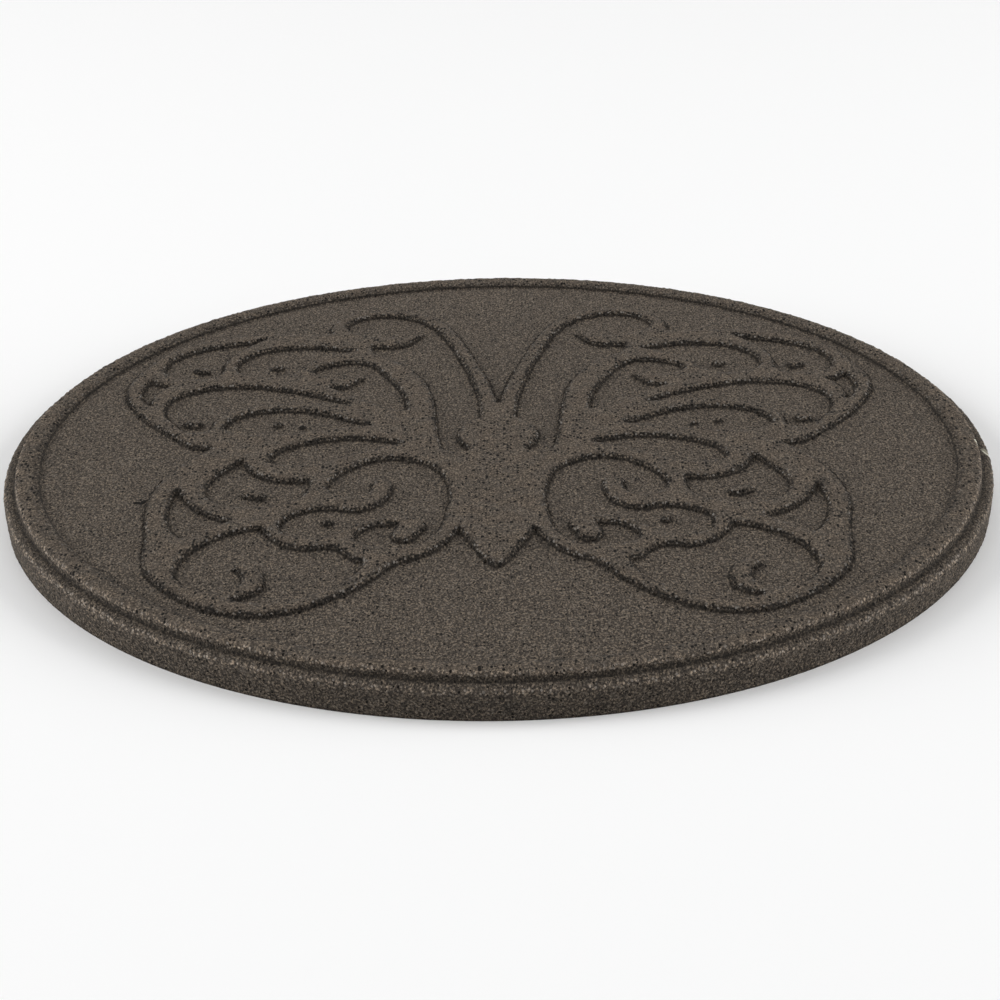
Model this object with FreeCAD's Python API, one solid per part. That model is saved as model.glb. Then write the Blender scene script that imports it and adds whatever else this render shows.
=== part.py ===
import math
import os

import FreeCAD
import Part
from FreeCAD import Vector

# Round garden stepping stone, one moulded piece of bonded rubber crumb.
# All sizes are in millimetres.  The origin is the middle of the underside,
# +Z is up and +Y is the side of the butterfly's antennae.

# Disc: a side wall that leans in a little towards the foot, a rounded
# shoulder, a low ledge and a rim that stands above the ledge, with its
# outer edge rounded and its inner lip worn to a bevel.
stone_d = 457.2
stone_h = 19.0
side_draft = 1.1
foot_bevel = 0.4
shoulder_round = 2.7
ledge_z = 15.0
rim_outer_r = 223.2
step_draft = 0.4
rim_edge_round = 1.2
rim_width = 10.5
rim_draft = 1.3
rim_lip_bevel = 1.6

# Sunken field and the raised pattern, whose tops are level with the rim
field_depth = 2.5
pattern_root = 0.5
curve_tolerance = 0.25

stone_r = stone_d / 2
field_z = stone_h - field_depth
root_z = field_z - pattern_root
rim_top_r = rim_outer_r - step_draft
rim_inner_r = rim_outer_r - step_draft - rim_width
lip_foot_r = rim_inner_r - rim_draft * rim_lip_bevel / field_depth


def corner(corner_r, corner_z, radius, steps):
    """Points of a rounded upper corner of the section, in equal turns."""
    centre_r = corner_r - radius
    centre_z = corner_z - radius
    turns = [math.pi / 2 * i / steps for i in range(steps + 1)]
    return [(centre_r + radius * math.cos(t), centre_z + radius * math.sin(t)) for t in turns]


# Half section of the disc, from the middle of the foot round to the field
foot_r = stone_r - side_draft
section = [
    (0, 0),
    (foot_r - foot_bevel, 0),
    (foot_r, foot_bevel),
    *corner(stone_r, ledge_z, shoulder_round, 3),
    (rim_outer_r, ledge_z),
    *corner(rim_top_r, stone_h, rim_edge_round, 2),
    (rim_inner_r + rim_lip_bevel, stone_h),
    (lip_foot_r, stone_h - rim_lip_bevel),
    (rim_inner_r - rim_draft, field_z),
    (0, field_z),
    (0, 0),
]
profile = Part.Face(Part.makePolygon([Vector(r, 0, z) for r, z in section]))
disc = profile.revolve(Vector(0, 0, 0), Vector(0, 0, 1), 360)

# The pattern is drawn for the right half, x to the side and y away from the
# viewer, and mirrored.  Each outline is a start point and runs of points: a
# smooth line of tangent arcs passes through a run, and runs meet at corners.


def runs_to_edges(start, runs):
    """Edges at the root of the pattern for a start point and its runs."""
    last = Vector(start[0], start[1], root_z)
    edges = []
    for run in runs:
        points = [last] + [Vector(x, y, root_z) for x, y in run]
        curve = Part.BSplineCurve()
        curve.interpolate(points)
        edges += [arc.toShape() for arc in curve.toBiArcs(curve_tolerance)]
        last = points[-1]
    return edges


def closed(start, *runs):
    """Closed outline; the last run ends on the start point."""
    return Part.Wire(runs_to_edges(start, runs))


def mirrored(shape):
    """The same shape on the left half."""
    return shape.mirror(Vector(0, 0, 0), Vector(1, 0, 0))


# Outer edge of the right half, from the fork of the antennae round the
# antenna, the upper wing and the lower wing to the tip of the body.
antenna_outside = [(4.5, 75), (11, 102), (18, 128), (26, 151), (38, 167), (58, 174), (77, 169), (87, 156), (88, 141)]
upper_wing_top = [(105, 140), (124, 141), (142, 136), (158, 127), (171, 113), (178, 96), (184, 77), (183.5, 60)]
upper_wing_side = [(177, 42), (165, 21.5), (152, 5.5), (143, -4), (134, -6)]
lower_wing_side = [(146, -24), (154, -47), (156.5, -70), (154, -90), (152, -110), (149, -131), (138, -149)]
lower_wing_foot = [(120, -166), (100, -173), (78, -167), (62, -154), (50, -139), (42, -127), (32, -120.5)]
lower_wing_heel = [(23, -110), (16.5, -95)]
body_tip = [(12, -108), (8, -118), (4.5, -126), (0, -131)]
right_edges = runs_to_edges(
    (0, 46),
    [
        antenna_outside,
        upper_wing_top + upper_wing_side,
        lower_wing_side + lower_wing_foot + lower_wing_heel,
        body_tip,
    ],
)
outline = Part.Wire(Part.__sortEdges__(right_edges + [mirrored(edge) for edge in right_edges]))

# Sunken cells of the right half
antenna_cell = closed(
    (9, 28),
    [(9.5, 40), (13, 70), (17, 90), (22, 110), (28, 132), (36, 150), (46, 161), (60, 165.5), (72, 161.5), (79, 150)],
    [(75, 142), (66, 136), (54, 134), (39, 139)],
    [(44, 128), (50, 122), (56, 120.5), (64, 121)],
    [(62, 112), (52, 102), (42, 88), (34, 68), (31, 50), (29, 28), (26, -4)],
    [(23, -10), (19, -12), (14, -10)],
    [(17, -4), (20, 5), (18.5, 15), (9, 28)],
)
scroll_cell = closed(
    (45, 38),
    [(46, 50), (49, 62), (53, 74), (58, 85), (64, 95), (72, 99.5), (80, 98), (88, 94.5), (92, 88)],
    [(88, 83), (79, 80), (66.5, 81)],
    [(70, 73), (75, 67.5), (82, 67)],
    [(72, 58), (62, 48), (53, 40), (45, 38)],
)
first_crescent = closed(
    (74, 116),
    [(86, 119.5), (100, 121), (112, 119.5), (121, 115), (127, 108), (130.5, 100), (131, 94)],
    [(127, 86), (119, 82), (109, 82), (102, 88), (97, 99), (88, 108), (74, 116)],
)
second_crescent = closed(
    (122, 133),
    [(130, 128), (138, 125.5), (147, 121.5), (156, 116), (162, 110), (166, 102), (167, 92)],
    [(163, 84), (154, 80.5), (145, 81), (140, 87), (139.5, 98), (135, 113), (122, 133)],
)
third_crescent = closed(
    (73, 46),
    [(85, 54.5), (100, 62), (115, 67.5), (130, 69), (142, 66.5), (152, 61), (158.5, 53), (160.5, 43), (157, 29)],
    [(151, 19), (144, 13), (138.5, 15), (137, 23), (132, 34), (123, 42), (110, 47), (90, 48), (73, 46)],
)
fourth_crescent = closed(
    (61, 20),
    [(74, 28), (88, 35.5), (100, 38.5), (111, 37.5), (120, 34), (127, 27), (130, 18)],
    [(122, 11.5), (108, 10), (92, 12), (76, 16.5), (61, 20)],
)
fifth_crescent = closed(
    (45, -2),
    [(55, 2), (68, 4), (82, 2), (93, -3), (101, -10), (104.5, -22)],
    [(96, -25), (84, -24), (72, -17), (60, -9), (45, -2)],
)
edge_sliver = closed(
    (172.5, 78),
    [(169, 73.5), (163.5, 71.5)],
    [(168, 64), (170, 56), (169, 47)],
    [(172.5, 53), (174.5, 65), (172.5, 78)],
)
leaf_cell = closed(
    (118, -20),
    [(115, -29), (110, -36), (104, -41), (97, -43.5), (86, -43)],
    [(86, -53), (90, -62), (99, -68), (112, -70), (123, -66), (129.5, -57)],
    [(130.5, -50), (129, -42), (125, -33), (118, -20)],
)
side_cell = closed(
    (143.5, -53),
    [(140, -62), (135, -70), (129, -77), (118, -84)],
    [(124, -90), (130, -96), (136, -100)],
    [(141, -92), (144, -80), (145, -66), (143.5, -53)],
)
scroll_field = closed(
    (23, -72),
    [(22, -60), (23.5, -47), (27.5, -33), (36, -24), (47, -19.5), (57, -21.5), (65, -28), (72, -37), (76, -50)],
    [(73, -56), (68, -60), (61, -59), (58, -54), (58, -46)],
    [
        (54.5, -42),
        (49, -43),
        (46.5, -51),
        (48, -61),
        (54, -71),
        (62, -75),
        (76, -73),
        (86, -76.5),
        (92, -82),
        (94, -90),
    ],
    [(91, -97), (83, -101), (74, -100), (66, -93), (58, -85.5), (50, -82), (40, -81.5), (32, -85), (31, -93)],
    [(33.5, -100), (37, -105), (42, -106), (46, -101), (45.5, -95), (44, -89)],
    [(50, -89.5), (56, -93), (61, -103)],
    [(57, -108), (49, -111), (40, -112), (33, -107), (27, -97), (24, -85), (23, -72)],
)
foot_cell = closed(
    (103, -91.5),
    [(112, -95), (120, -100.5), (127, -109), (132.5, -120), (134.5, -132)],
    [(131, -142), (122, -150), (113, -151), (107.5, -146), (107, -139), (112, -130)],
    [(107, -126.5), (100, -129), (96.5, -137), (96, -147), (100, -154), (108, -158)],
    [(96, -161.5), (84, -159), (72, -151.5), (62, -140), (57, -125)],
    [(65, -118), (71, -111.5), (80, -112.5), (88, -111), (95, -105.5), (103, -91.5)],
)
cells = [
    antenna_cell,
    scroll_cell,
    first_crescent,
    second_crescent,
    third_crescent,
    fourth_crescent,
    fifth_crescent,
    edge_sliver,
    leaf_cell,
    side_cell,
    scroll_field,
    foot_cell,
]


def bead(x, y, length, width, turn):
    """Small raised bead: round, or long with round ends and turned."""
    reach = (length - width) / 2
    shape = Part.makeCylinder(width / 2, rise.z, Vector(-reach, 0, root_z))
    if reach > 0:
        shape = shape.fuse(Part.makeCylinder(width / 2, rise.z, Vector(reach, 0, root_z)))
        shape = shape.fuse(Part.makeBox(2 * reach, width, rise.z, Vector(-reach, -width / 2, root_z)))
    shape.rotate(Vector(0, 0, 0), Vector(0, 0, 1), turn)
    shape.translate(Vector(x, y, 0))
    return shape


rise = Vector(0, 0, field_depth + pattern_root)
beads = [
    bead(111, 95, 7, 7, 0),
    bead(149.5, 92, 9.5, 6.5, 25),
    bead(145.5, 24.5, 10, 8.5, 0),
    bead(105, 22.5, 5, 5, 0),
    bead(93, 19.5, 4, 4, 0),
    bead(74, -85.5, 6, 6, 0),
    bead(109, -57, 13, 7.5, 28),
]

plate = Part.makeFace([outline] + cells + [mirrored(cell) for cell in cells], "Part::FaceMakerCheese")
raised = [plate.extrude(rise)] + beads + [mirrored(shape) for shape in beads]
stone = disc.fuse(raised).removeSplitter()

os.makedirs("parts", exist_ok=True)
stone.exportStep("parts/stepping_stone.step")
print("solids", len(stone.Solids), "valid", stone.isValid(), "volume cm3", round(stone.Volume / 1000, 1))
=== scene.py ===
import math

import bpy
import numpy as np
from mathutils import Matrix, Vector, geometry
from mathutils.bvhtree import BVHTree


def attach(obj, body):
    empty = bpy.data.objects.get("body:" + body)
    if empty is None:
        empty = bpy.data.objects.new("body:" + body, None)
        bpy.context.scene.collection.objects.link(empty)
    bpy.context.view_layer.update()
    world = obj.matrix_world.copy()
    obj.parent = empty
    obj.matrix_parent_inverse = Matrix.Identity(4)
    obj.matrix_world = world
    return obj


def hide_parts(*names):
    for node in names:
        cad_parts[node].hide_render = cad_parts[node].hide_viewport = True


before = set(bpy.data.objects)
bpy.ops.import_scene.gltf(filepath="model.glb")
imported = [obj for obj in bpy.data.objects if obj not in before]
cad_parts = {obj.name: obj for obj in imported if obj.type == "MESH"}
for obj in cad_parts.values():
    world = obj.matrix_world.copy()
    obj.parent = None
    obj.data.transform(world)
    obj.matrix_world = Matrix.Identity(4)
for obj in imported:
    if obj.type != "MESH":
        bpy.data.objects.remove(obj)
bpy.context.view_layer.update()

# Stepping stone.  One moulding of brown-grey rubber crumb bound with resin and
# pressed in a mould: its flat tops and its field are closed, while the crumbs
# at the edges of the relief, on the rim's lips and down the side stand loose.
top_z = 0.01897
field_z = 0.01647
field_r = 0.2095
mid_wall_z = 0.01775
over_stone_z = 0.03
steep = 0.2
turns = 860

# Spacing of the net's points, and the span of distances from a wall that has
# it; rows lie closer than points in a row, and each point strays a little
net_rings = (
    (0.00068, -0.0005, 0.0021),
    (0.0013, -0.0020, 0.0032),
    (0.0030, -0.007, 0.008),
    (0.0085, -1, 1),
)
row_pitch = 0.87
stray = 0.28
edge_gap = 0.0006
longest_reach = 0.02

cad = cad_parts["stepping_stone"].data
cad.calc_loop_triangles()
corners = [v.co.copy() for v in cad.vertices]
facets = [tuple(t.vertices) for t in cad.loop_triangles]
relief_walls = [
    f
    for f, t in zip(facets, cad.loop_triangles)
    if abs(t.normal.z) < steep and all(math.hypot(corners[i].x, corners[i].y) < field_r for i in f)
]
solid_tree = BVHTree.FromPolygons(corners, facets)
wall_tree = BVHTree.FromPolygons(corners, relief_walls)
rng = np.random.default_rng(7)


def past_wall(x, y, reach):
    """Distance in from the nearest relief wall: above 0 on the raised side, below 0 on the field."""
    near = wall_tree.find_nearest(Vector((x, y, mid_wall_z)), reach)[3]
    if near is None:
        near = reach
    below = solid_tree.ray_cast(Vector((x, y, over_stone_z)), Vector((0, 0, -1)))[0]
    return near if below.z > mid_wall_z else -near


# A net over the field and the relief, fine along the walls and open on the flats
net = []
taken = (0, 0)
for spacing, low, high in net_rings:
    steps = int(field_r / spacing) + 1
    reach = min(longest_reach, max(-low, high) + 0.001)
    for row in range(-steps, steps + 1):
        for col in range(-steps, steps + 1):
            x = (col + 0.5 * (row % 2) + rng.uniform(-stray, stray)) * spacing
            y = (row_pitch * row + rng.uniform(-stray, stray)) * spacing
            if math.hypot(x, y) > field_r - edge_gap - 0.4 * spacing:
                continue
            away = past_wall(x, y, reach)
            if low <= away < high and not taken[0] <= away < taken[1]:
                net.append((x, y, away))
    taken = (low, high)

rim_angles = [2 * math.pi * i / turns for i in range(turns)]
edge_of_net = [(field_r * math.cos(a), field_r * math.sin(a)) for a in rim_angles]
plan = [Vector(p) for p in edge_of_net] + [Vector(p[:2]) for p in net]
made = geometry.delaunay_2d_cdt(plan, [], [], 0, 1e-9)
verts = [(x, y, field_z) for x, y in edge_of_net] + [(x, y, field_z) for x, y, _ in net]
faces = [[made[3][i][0] for i in triangle] for triangle in made[2]]
away = [-1.0] * turns + [p[2] for p in net]
loose = [0.0] * len(verts)
# Painted light and shade for each point: below 0 painted shade, above 0 painted highlight
painted_light = [0.0] * len(verts)

# The section outside the net, from the field over the rim and its ledge to the
# underside: radius and height in millimetres, how loose the crumb is, and its
# painted light: below 0 a painted shade at the wall feet, in the ledge's corner
# under the step and along the bottom edge, above 0 a painted highlight on the
# rim's outer lip and on the shoulder
section = (
    (210.4, 16.47, 0.3, -0.1),
    (210.9, 16.6, 0.7, -0.1),
    (211.2, 17.2, 1, 0),
    (211.6, 17.8, 1, 0),
    (212.3, 18.25, 1, 0),
    (213.2, 18.6, 1, 0),
    (214.5, 18.85, 0.8, 0),
    (216.2, 18.95, 0.2, 0),
    (218.6, 18.97, 0.1, 0.05),
    (220.6, 18.97, 0.3, 0.25),
    (221.7, 18.95, 0.8, 0.7),
    (222.4, 18.75, 1, 1),
    (222.8, 18.2, 1, 1),
    (222.95, 17.4, 1, 0.85),
    (223.05, 16.5, 1, -0.1),
    (223.15, 15.7, 1, -0.4),
    (223.4, 15.1, 0.8, -0.65),
    (224.2, 14.95, 0.6, -0.5),
    (225.4, 14.95, 0.6, 0),
    (226.5, 14.8, 0.9, 0.1),
    (227.4, 14.35, 1, 0.6),
    (228.1, 13.6, 1, 1),
    (228.5, 12.5, 1, 0.7),
    (228.55, 11.0, 1, 0.15),
    (228.45, 9.4, 1, 0.05),
    (228.35, 7.8, 1, 0),
    (228.2, 6.2, 1, 0),
    (228.1, 4.6, 1, 0),
    (228.0, 3.0, 1, 0),
    (227.85, 1.5, 1, 0),
    (227.7, 0.3, 0.6, -0.5),
    (227.3, 0.0, 0, 0),
)
inner = list(range(turns))
for k, (r, z, rough, row_painted_light) in enumerate(section):
    outer = []
    for a in rim_angles:
        turned = a + (math.pi / turns if k % 2 == 0 else 0)
        outer.append(len(verts))
        verts.append((r * math.cos(turned) / 1000, r * math.sin(turned) / 1000, z / 1000))
        away.append(-1.0)
        loose.append(rough)
        painted_light.append(row_painted_light)
    for i in range(turns):
        j = (i + 1) % turns
        if k % 2 == 0:
            faces += [[inner[i], outer[i], inner[j]], [inner[j], outer[i], outer[j]]]
        else:
            faces += [[inner[i], outer[i], outer[j]], [inner[i], outer[j], inner[j]]]
    inner = outer
faces.append(list(reversed(inner)))

smooth_mesh = bpy.data.meshes.new("smooth_stone")
smooth_mesh.from_pydata(verts, [], faces)
smooth_mesh.polygons.foreach_set("use_smooth", [True] * len(smooth_mesh.polygons))
for name, values in (("away", away), ("loose", loose), ("painted_light", painted_light)):
    smooth_mesh.attributes.new(name, "FLOAT", "POINT").data.foreach_set("value", values)
smooth_mesh.update()
smooth_stone = bpy.data.objects.new("smooth_stone", smooth_mesh)
bpy.context.collection.objects.link(smooth_stone)


def add(tree, kind, inputs=None, **settings):
    """A new node: its settings, then each input as a value or as another node's output."""
    node = tree.nodes.new(kind)
    for name, value in settings.items():
        setattr(node, name, value)
    for name, value in (inputs or {}).items():
        if isinstance(value, bpy.types.NodeSocket):
            tree.links.new(value, node.inputs[name])
        else:
            node.inputs[name].default_value = value
    return node


def maths(tree, operation, first, second=0.0, third=0.0):
    """The result of one sum on one, two or three values."""
    return add(tree, "ShaderNodeMath", {0: first, 1: second, 2: third}, operation=operation).outputs[0]


def between(tree, value, low, high, to_low=0.0, to_high=1.0):
    """A soft step of a value from low to high."""
    ends = {"Value": value, "From Min": low, "From Max": high, "To Min": to_low, "To Max": to_high}
    return add(tree, "ShaderNodeMapRange", ends, interpolation_type="SMOOTHSTEP").outputs[0]


# Raises the relief out of the net and breaks its edges, the lips and the side
# into crumbs, each set back by its own amount with a gap round it.  Spans are
# pairs of distances in past the wall, save the gap's, which is in crumb widths.
gap_span = (0.0, 0.3)
own_share = 0.5
jag_share = 0.5
wall_span, wall_share = (-0.0005, 0.0001), 0.4
ragged_span, ragged_share = (-0.0003, 0.0006), 0.4
round_span, round_share = (0.0, 0.0018), 0.2
lip_starts = (-0.0006, 0.0002)
lip_ends = (0.0006, 0.0026)
broken_starts = (-0.0006, 0.0)
broken_ends = (0.0014, 0.0034)
# Painted shade on the field in front of each wall's foot: where it starts, where it ends, and how dark
foot_starts = (-0.0022, -0.0004)
foot_ends = (-0.0004, 0.0)
foot_painted_shade = -0.12
sink_share = -0.45
faceted_above = 0.15
press = bpy.data.node_groups.new("pressed_crumb", "GeometryNodeTree")
press.interface.new_socket("Geometry", in_out="OUTPUT", socket_type="NodeSocketGeometry")
press.interface.new_socket("Geometry", in_out="INPUT", socket_type="NodeSocketGeometry")
for name, kind in (
    ("Relief Height", "NodeSocketFloat"),
    ("Crumb Size", "NodeSocketFloat"),
    ("Ragged Edge", "NodeSocketFloat"),
    ("Gap Depth", "NodeSocketFloat"),
    ("Seed", "NodeSocketInt"),
    ("Material", "NodeSocketMaterial"),
):
    press.interface.new_socket(name, in_out="INPUT", socket_type=kind)
given = add(press, "NodeGroupInput").outputs
place = add(press, "GeometryNodeInputPosition").outputs[0]
seed_step = {0: (0.173, 0.127, 0.219), "Scale": given["Seed"]}
seed_step = add(press, "ShaderNodeVectorMath", seed_step, operation="SCALE").outputs[0]
seeded = add(press, "ShaderNodeVectorMath", {0: place, 1: seed_step}).outputs[0]
density = maths(press, "DIVIDE", 1.0, given["Crumb Size"])
cell = add(press, "ShaderNodeTexVoronoi", {"Vector": seeded, "Scale": density})
own = add(press, "ShaderNodeSeparateXYZ", {0: cell.outputs["Color"]}).outputs[0]
to_gap = add(
    press, "ShaderNodeTexVoronoi", {"Vector": seeded, "Scale": density}, feature="DISTANCE_TO_EDGE"
).outputs["Distance"]
gap = between(press, to_gap, *gap_span, 1.0, 0.0)
jag = add(press, "FunctionNodeRandomValue", {"Seed": given["Seed"]}, data_type="FLOAT").outputs[1]
set_back = maths(press, "MULTIPLY_ADD", jag, jag_share, gap)
set_back = maths(press, "MULTIPLY_ADD", own, own_share, set_back)
set_back = maths(press, "MULTIPLY", set_back, given["Gap Depth"])

past = add(press, "GeometryNodeInputNamedAttribute", {"Name": "away"}, data_type="FLOAT").outputs[0]
ragged = maths(press, "MULTIPLY_ADD", maths(press, "SUBTRACT", own, 0.5), given["Ragged Edge"], past)
rise = maths(press, "MULTIPLY", between(press, past, *wall_span), wall_share)
rise = maths(press, "MULTIPLY_ADD", between(press, ragged, *ragged_span), ragged_share, rise)
rise = maths(press, "MULTIPLY_ADD", between(press, past, *round_span), round_share, rise)
rise = maths(press, "MULTIPLY", rise, given["Relief Height"])
near_lip = maths(press, "SUBTRACT", between(press, past, *lip_starts), between(press, past, *lip_ends))
lift = maths(press, "MULTIPLY_ADD", maths(press, "MULTIPLY", set_back, near_lip), -1.0, rise)

on_edge = add(press, "GeometryNodeInputNamedAttribute", {"Name": "loose"}, data_type="FLOAT").outputs[0]
sink = maths(press, "MULTIPLY", maths(press, "MULTIPLY", set_back, on_edge), sink_share)
facing = add(press, "GeometryNodeInputNormal").outputs[0]
pushed = add(press, "ShaderNodeVectorMath", {0: facing, "Scale": sink}, operation="SCALE").outputs[0]
lifted = add(press, "ShaderNodeCombineXYZ", {2: lift}).outputs[0]
moved = add(press, "ShaderNodeVectorMath", {0: pushed, 1: lifted}).outputs[0]
shape = add(press, "GeometryNodeSetPosition", {"Geometry": given["Geometry"], "Offset": moved}).outputs[0]

# Painted light and shade: each row's value from the section, with painted shade added on the field in
# front of each wall's foot
row_painted_light = add(press, "GeometryNodeInputNamedAttribute", {"Name": "painted_light"}, data_type="FLOAT").outputs[0]
at_foot = between(press, past, *foot_ends, 1.0, 0.0)
at_foot = maths(press, "MULTIPLY", between(press, past, *foot_starts), at_foot)
whole_painted_light = maths(press, "MULTIPLY_ADD", at_foot, foot_painted_shade, row_painted_light)
broken = between(press, past, *broken_ends, 1.0, 0.0)
broken = maths(press, "MULTIPLY", between(press, past, *broken_starts), broken)
for name, value in (("loose", maths(press, "MAXIMUM", broken, on_edge)), ("painted_light", whole_painted_light)):
    shape = add(
        press,
        "GeometryNodeStoreNamedAttribute",
        {"Geometry": shape, "Name": name, "Value": value},
        data_type="FLOAT",
        domain="POINT",
    ).outputs[0]
faceted = maths(press, "GREATER_THAN", near_lip, faceted_above)
broken_faces = {"Geometry": shape, "Selection": faceted, "Shade Smooth": False}
shape = add(press, "GeometryNodeSetShadeSmooth", broken_faces).outputs[0]
shape = add(press, "GeometryNodeRealizeInstances", {"Geometry": shape}).outputs[0]
finished = {"Geometry": shape, "Material": given["Material"]}
shape = add(press, "GeometryNodeSetMaterial", finished).outputs[0]
add(press, "NodeGroupOutput", {0: shape})

# Ground rubber: a warm brown skin of fine grain, with curled tan and dark lines
# round its shreds and black pits, crumb tips with a painted highlight and painted
# shade between them where the edges are broken, painted shade low on the walls,
# and a painted highlight on the rim's lip and shoulder.
# Densities are to a metre, and a share is how far a colour covers the last one.
grain_density = 1500
shred_density = 760
curl_density = 620
turn_density = 1100
pit_density = 640
crumb_density = 860
patch_density = 110
curl_reach = 0.0022
inner_lip = (field_r, 0.2110)
rim_top = (0.2165, 0.2175)
on_ledge = (0.0132, 0.0138)
on_rim = (0.0170, 0.0174)
bump_depth = 0.0003

skin_brown = (0.078, 0.065, 0.053, 1)
patch_warmth = (1.12, 1.08, 1.04, 1)
furrow_brown, furrow_share = (0.022, 0.019, 0.016, 1), 0.7
shred_tan, shred_share = (0.27, 0.215, 0.160, 1), 0.55
# Painted highlight: the lit grey of crumb tips along the broken edges
tip_highlight_grey, tip_highlight_share = (0.24, 0.224, 0.204, 1), 0.65
# Painted shade: near-black in the gaps between loose crumbs
gap_shade_black = (0.012, 0.011, 0.010, 1)
pit_black = (0.008, 0.007, 0.006, 1)
# Painted shade: near-black for the lower part of the walls and wherever the painted light value is below
# 0
painted_shade_black, painted_shade_share = (0.010, 0.009, 0.008, 1), 0.7
# Painted highlight: a pale dodge on the rim's outer lip and the shoulder, wherever the painted light
# value is above 0
highlight_pale, highlight_share = (0.55, 0.54, 0.53, 1), 0.9
chip_buff, chip_share = (0.30, 0.285, 0.225, 1), 0.75
scuff_cream, scuff_share = (0.62, 0.60, 0.50, 1), 0.85
crack_black, crack_share = (0.006, 0.005, 0.004, 1), 0.5

rubber = bpy.data.materials.new("rubber_crumb")
rubber.use_nodes = True
look = rubber.node_tree
look.nodes.clear()
spot = add(look, "ShaderNodeTexCoord").outputs["Object"]
grain_lie = {0: spot, 1: (1.0, 0.62, 1.0)}
laid = add(look, "ShaderNodeVectorMath", grain_lie, operation="MULTIPLY").outputs[0]
in_plan = add(look, "ShaderNodeVectorMath", {0: spot, 1: (1, 1, 0)}, operation="MULTIPLY").outputs[0]
from_middle = add(look, "ShaderNodeVectorMath", {0: in_plan}, operation="LENGTH").outputs["Value"]
height_at = add(look, "ShaderNodeSeparateXYZ", {0: spot}).outputs["Z"]
up_relief = between(look, height_at, field_z, top_z)
loose_mark = add(look, "ShaderNodeAttribute", attribute_name="loose").outputs["Fac"]
# The painted light and shade stored on each point by the pressing
painted_light_mark = add(look, "ShaderNodeAttribute", attribute_name="painted_light").outputs["Fac"]


def times(first, second, third=1.0):
    """Two or three values multiplied."""
    return maths(look, "MULTIPLY", maths(look, "MULTIPLY", first, second), third)


def cells(scale):
    """Round cells: the distance from a cell's middle, and two random values of its own."""
    found = add(look, "ShaderNodeTexVoronoi", {"Vector": laid, "Scale": scale})
    own = add(look, "ShaderNodeSeparateColor", {0: found.outputs["Color"]})
    return found.outputs["Distance"], own.outputs[0], own.outputs[1]


def tinted(factor, under, over, blend="MIX"):
    """One colour laid over another by a mask."""
    colours = {0: factor, 6: under, 7: over}
    return add(look, "ShaderNodeMix", colours, data_type="RGBA", blend_type=blend).outputs[2]


_, grain, grain_rise = cells(grain_density)
tint = add(look, "ShaderNodeValToRGB", {0: grain})
grain_colours = (
    (0.0, (0.010, 0.009, 0.008, 1)),
    (1.0, (0.170, 0.146, 0.121, 1)),
    (0.25, (0.045, 0.038, 0.032, 1)),
    (0.8, (0.075, 0.063, 0.052, 1)),
)
stops = tint.color_ramp.elements
for stop, (_, colour) in zip(stops, grain_colours):
    stop.color = colour
for at, colour in grain_colours[2:]:
    stops.new(at).color = colour

stir = {"Vector": laid, "Scale": curl_density, "Detail": 0}
stir = add(look, "ShaderNodeTexNoise", stir).outputs["Color"]
stir = add(look, "ShaderNodeVectorMath", {0: stir, 1: (0.5, 0.5, 0.5)}, operation="SUBTRACT").outputs[0]
stir = add(look, "ShaderNodeVectorMath", {0: stir, "Scale": curl_reach}, operation="SCALE").outputs[0]
stirred = add(look, "ShaderNodeVectorMath", {0: laid, 1: stir}).outputs[0]
to_edge = {"Vector": stirred, "Scale": shred_density}
to_edge = add(look, "ShaderNodeTexVoronoi", to_edge, feature="DISTANCE_TO_EDGE").outputs[0]
line = between(look, to_edge, 0.04, 0.14, 1.0, 0.0)
turn = add(look, "ShaderNodeTexNoise", {"Vector": laid, "Scale": turn_density, "Detail": 0}).outputs[0]
shred = times(line, between(look, turn, 0.50, 0.56), shred_share)
furrow = times(line, between(look, turn, 0.42, 0.48, 1.0, 0.0), furrow_share)

from_pit, pit_own, _ = cells(pit_density)
pit_size = maths(look, "MULTIPLY_ADD", pit_own, 0.8, -0.45)
pit_size = maths(look, "MULTIPLY_ADD", up_relief, 0.13, pit_size)
pit = between(look, maths(look, "SUBTRACT", from_pit, pit_size), 0.0, 0.04, 1.0, 0.0)

from_crumb, crumb, crumb_rise = cells(crumb_density)
crumb_gap = between(look, from_crumb, 0.38, 0.6)
inside_rim = between(look, from_middle, *rim_top, 1.0, 0.0)
inside_wall = between(look, from_middle, *inner_lip, 1.0, 0.35)
# Where crumb tips get a painted highlight and the gaps between them a deeper painted shade: high on the
# walls inside the rim, less on the rim's inner wall, and wherever the painted light value is above 0;
# only where the crumb is loose
lip_shading_zone = times(inside_rim, between(look, up_relief, 0.45, 0.75), inside_wall)
lip_shading_zone = maths(look, "MAXIMUM", lip_shading_zone, between(look, painted_light_mark, 0.1, 0.8, 0.0, 0.4))
lip_shading_zone = maths(look, "MULTIPLY", loose_mark, lip_shading_zone)
tip_highlight = times(lip_shading_zone, between(look, crumb, 0.62, 0.95), maths(look, "SUBTRACT", 1.0, crumb_gap))
# Painted shade on the lower part of each wall inside the rim
below_lip = between(look, up_relief, 0.4, 0.7, 1.0, 0.0)
low_wall_shade = times(between(look, up_relief, 0.02, 0.12), below_lip, inside_rim)

patches = {"Vector": spot, "Scale": patch_density, "Detail": 0}
patches = add(look, "ShaderNodeTexNoise", patches).outputs[0]
even = maths(look, "MULTIPLY_ADD", up_relief, 0.3, 0.18)
colour = tinted(even, tint.outputs[0], skin_brown)
warm = maths(look, "MULTIPLY_ADD", up_relief, 0.75, 0.25)
warm = times(between(look, patches, 0.35, 0.65), warm)
colour = tinted(warm, colour, patch_warmth, "MULTIPLY")
colour = tinted(furrow, colour, furrow_brown)
colour = tinted(shred, colour, shred_tan)
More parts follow.
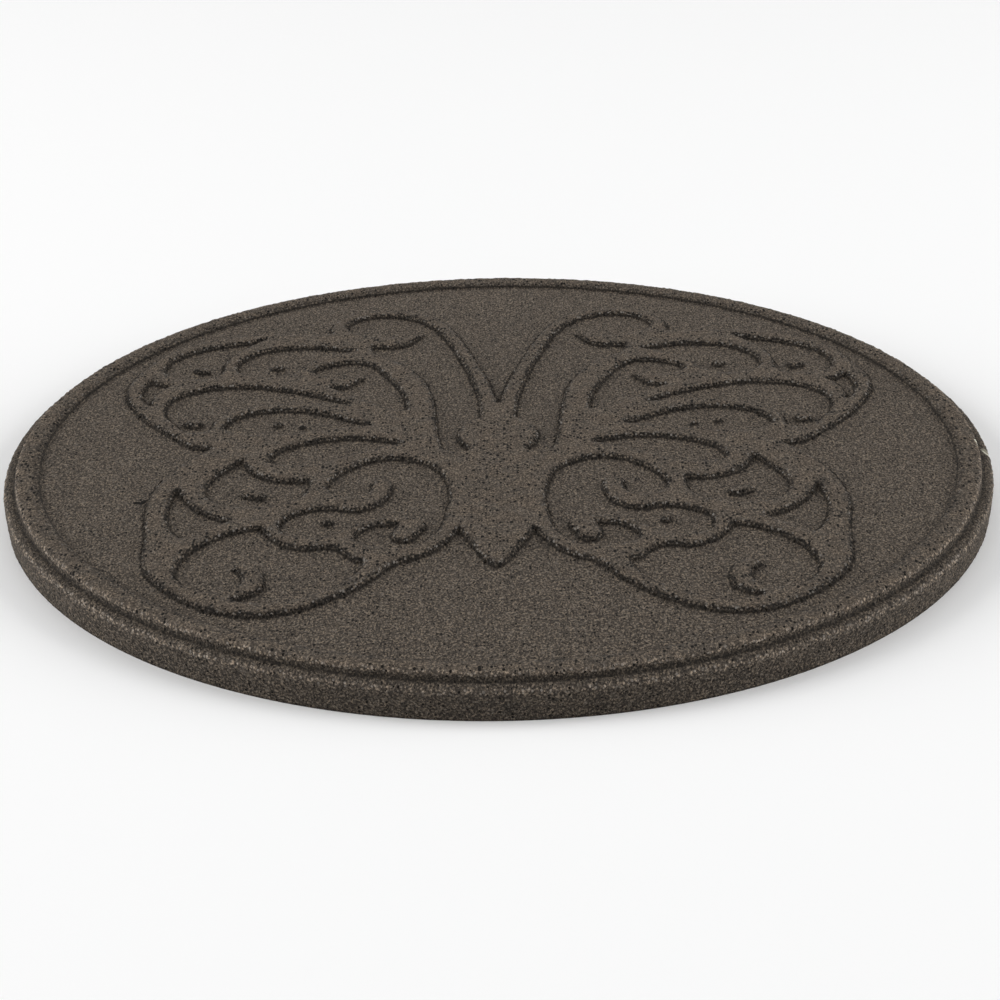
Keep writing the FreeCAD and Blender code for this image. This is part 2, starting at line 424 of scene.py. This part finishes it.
# Painted highlight on the crumb tips
colour = tinted(times(tip_highlight, tip_highlight_share), colour, tip_highlight_grey)
# Painted shade in the gaps between crumbs where the crumb is loose, deeper on the lips
gap_shade = times(crumb_gap, maths(look, "MULTIPLY_ADD", lip_shading_zone, 0.6, 0.35), loose_mark)
colour = tinted(gap_shade, colour, gap_shade_black)
colour = tinted(pit, colour, pit_black)
# Painted shade: darker wherever the painted light value is below 0 and low on the walls
dark = between(look, painted_light_mark, -1.0, 0.0, 0.9, 0.0)
dark = maths(look, "MAXIMUM", dark, times(low_wall_shade, painted_shade_share))
colour = tinted(dark, colour, painted_shade_black)
# Painted highlight: a pale dodge wherever the painted light value is above 0
painted_highlight = times(between(look, painted_light_mark, 0.0, 1.0), maths(look, "SUBTRACT", 1.0, pit), highlight_share)
colour = tinted(painted_highlight, colour, highlight_pale, "DODGE")


def stroke(start, end, half_width):
    """A mark in plan between two points, in millimetres, with edges as ragged as the grain."""
    run = (Vector((*end, 0)) - Vector((*start, 0))) / 1000
    past_start = {0: in_plan, 1: Vector((*start, 0)) / 1000}
    past_start = add(look, "ShaderNodeVectorMath", past_start, operation="SUBTRACT").outputs[0]
    share = {0: past_start, 1: run / run.length_squared}
    share = add(look, "ShaderNodeVectorMath", share, operation="DOT_PRODUCT").outputs["Value"]
    share = maths(look, "MINIMUM", maths(look, "MAXIMUM", share, 0.0), 1.0)
    nearest = add(look, "ShaderNodeVectorMath", {0: run, "Scale": share}, operation="SCALE").outputs[0]
    off = {0: past_start, 1: nearest}
    off = add(look, "ShaderNodeVectorMath", off, operation="DISTANCE").outputs["Value"]
    off = maths(look, "MULTIPLY_ADD", maths(look, "SUBTRACT", grain, 0.5), 0.0004, off)
    return between(look, off, (half_width - 0.15) / 1000, (half_width + 0.15) / 1000, 1.0, 0.0)


# Marks of use: a pale chip out of the ledge on the right with a scuff on the rim
# beside it, a dark dent in the field at the left and a thin crack at the right
above_side = between(look, height_at, *on_ledge)
chip = times(stroke((225.4, -9.6), (226.5, -13.4), 1.4), above_side)
chip_edge = times(stroke((224.6, -11.0), (227.1, -15.2), 0.35), above_side)
scuff = times(stroke((221.8, -6.4), (222.6, -12.5), 0.45), between(look, height_at, *on_rim))
dent = stroke((-161.4, -60.8), (-158.6, -61.4), 1.4)
dent = maths(look, "MAXIMUM", dent, stroke((-158.6, -61.4), (-157.6, -59.4), 1.3))
crack = times(stroke((201.2, -34.2), (209.3, -26.7), 0.35), crack_share)
scraped = maths(look, "MAXIMUM", chip_edge, scuff)
colour = tinted(times(chip, chip_share), colour, chip_buff)
colour = tinted(times(scraped, scuff_share), colour, scuff_cream)
colour = tinted(maths(look, "MAXIMUM", dent, crack), colour, crack_black)

height = maths(look, "MULTIPLY_ADD", maths(look, "MAXIMUM", pit, dent), -1.2, times(grain_rise, 0.5))
height = maths(look, "MULTIPLY_ADD", times(loose_mark, crumb_gap), -1.0, height)
height = maths(look, "MULTIPLY_ADD", times(loose_mark, crumb_rise), 0.8, height)
strength = maths(look, "MULTIPLY_ADD", loose_mark, 0.3, 0.4)
bump = {"Strength": strength, "Distance": bump_depth, "Height": height}
bump = add(look, "ShaderNodeBump", bump).outputs[0]
shader = add(
    look,
    "ShaderNodeBsdfPrincipled",
    {"Base Color": colour, "Normal": bump, "Roughness": 0.7, "Specular IOR Level": 0.05},
)
add(look, "ShaderNodeOutputMaterial", {0: shader.outputs[0]})

pressing = smooth_stone.modifiers.new("pressing", "NODES")
pressing.node_group = press
settings = {
    "Relief Height": top_z - field_z,
    "Crumb Size": 0.0015,
    "Ragged Edge": 0.0018,
    "Gap Depth": 0.0007,
    "Seed": 3,
    "Material": rubber,
}
for socket in press.interface.items_tree:
    if socket.in_out == "INPUT" and socket.name in settings:
        pressing[socket.identifier] = settings[socket.name]
bpy.context.view_layer.update()
pressed = smooth_stone.evaluated_get(bpy.context.evaluated_depsgraph_get())
crumb_mesh = bpy.data.meshes.new_from_object(pressed)
crumb_mesh.name = "crumb_stone"
stone = bpy.data.objects.new("crumb_stone", crumb_mesh)
bpy.context.collection.objects.link(stone)
bpy.data.objects.remove(smooth_stone)

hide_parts("stepping_stone")
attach(stone, "root")

# Floor.  A pale plain ground, round and not part of the stone.
floor_r = 2.6
floor_sides = 96
floor_angles = [2 * math.pi * i / floor_sides for i in range(floor_sides)]
floor_edge = [(floor_r * math.cos(a), floor_r * math.sin(a), 0) for a in floor_angles]
floor_mesh = bpy.data.meshes.new("floor")
floor_mesh.from_pydata(floor_edge, [], [list(range(floor_sides))])
floor = bpy.data.objects.new("floor", floor_mesh)
bpy.context.collection.objects.link(floor)
ground = bpy.data.materials.new("floor")
ground.use_nodes = True
ground.node_tree.nodes["Principled BSDF"].inputs["Base Color"].default_value = (0.95, 0.95, 0.95, 1)
ground.node_tree.nodes["Principled BSDF"].inputs["Roughness"].default_value = 0.9
floor_mesh.materials.append(ground)

# Light: a large soft box low at each side, a faint one above, and a pale world
# that looks white where the picture shows it past the floor.
for name, spot_at, width, depth, watts in (
    ("left", (-4.0, -0.15, 1.65), 3.0, 3.4, 178),
    ("right", (4.0, -0.15, 1.65), 3.0, 3.4, 158),
    ("above", (0, 1.2, 3.4), 2.4, 1.6, 10),
):
    lamp = bpy.data.lights.new(name, "AREA")
    lamp.shape = "RECTANGLE"
    lamp.size = width
    lamp.size_y = depth
    lamp.energy = watts
    lamp_object = bpy.data.objects.new(name, lamp)
    lamp_object.location = spot_at
    lamp_object.rotation_euler = (-Vector(spot_at)).to_track_quat("-Z", "Y").to_euler()
    bpy.context.collection.objects.link(lamp_object)
world = bpy.data.worlds.new("world")
bpy.context.scene.world = world
world.use_nodes = True
path = add(world.node_tree, "ShaderNodeLightPath").outputs
seen = maths(world.node_tree, "MAXIMUM", path["Is Camera Ray"], path["Is Glossy Ray"])
seen = maths(world.node_tree, "MAXIMUM", seen, path["Is Transmission Ray"])
world_light = 0.35
level = maths(world.node_tree, "MULTIPLY_ADD", seen, 1 - world_light, world_light)
world.node_tree.links.new(level, world.node_tree.nodes["Background"].inputs["Strength"])
world.node_tree.nodes["Background"].inputs["Color"].default_value = (1, 1, 1, 1)

# Camera at the photograph's place, with the lens that fits the stone's outline
# and rim lines there.
camera = bpy.data.cameras.new("camera")
camera.lens = 85.53
camera.sensor_width = 36
camera_object = bpy.data.objects.new("camera", camera)
camera_object.location = (0.00981, -1.01869, 0.46537)
camera_object.rotation_euler = [math.radians(a) for a in (64.8582, 0.796, 0.1467)]
bpy.context.collection.objects.link(camera_object)
bpy.context.scene.camera = camera_object

bpy.context.scene.view_settings.view_transform = "Standard"
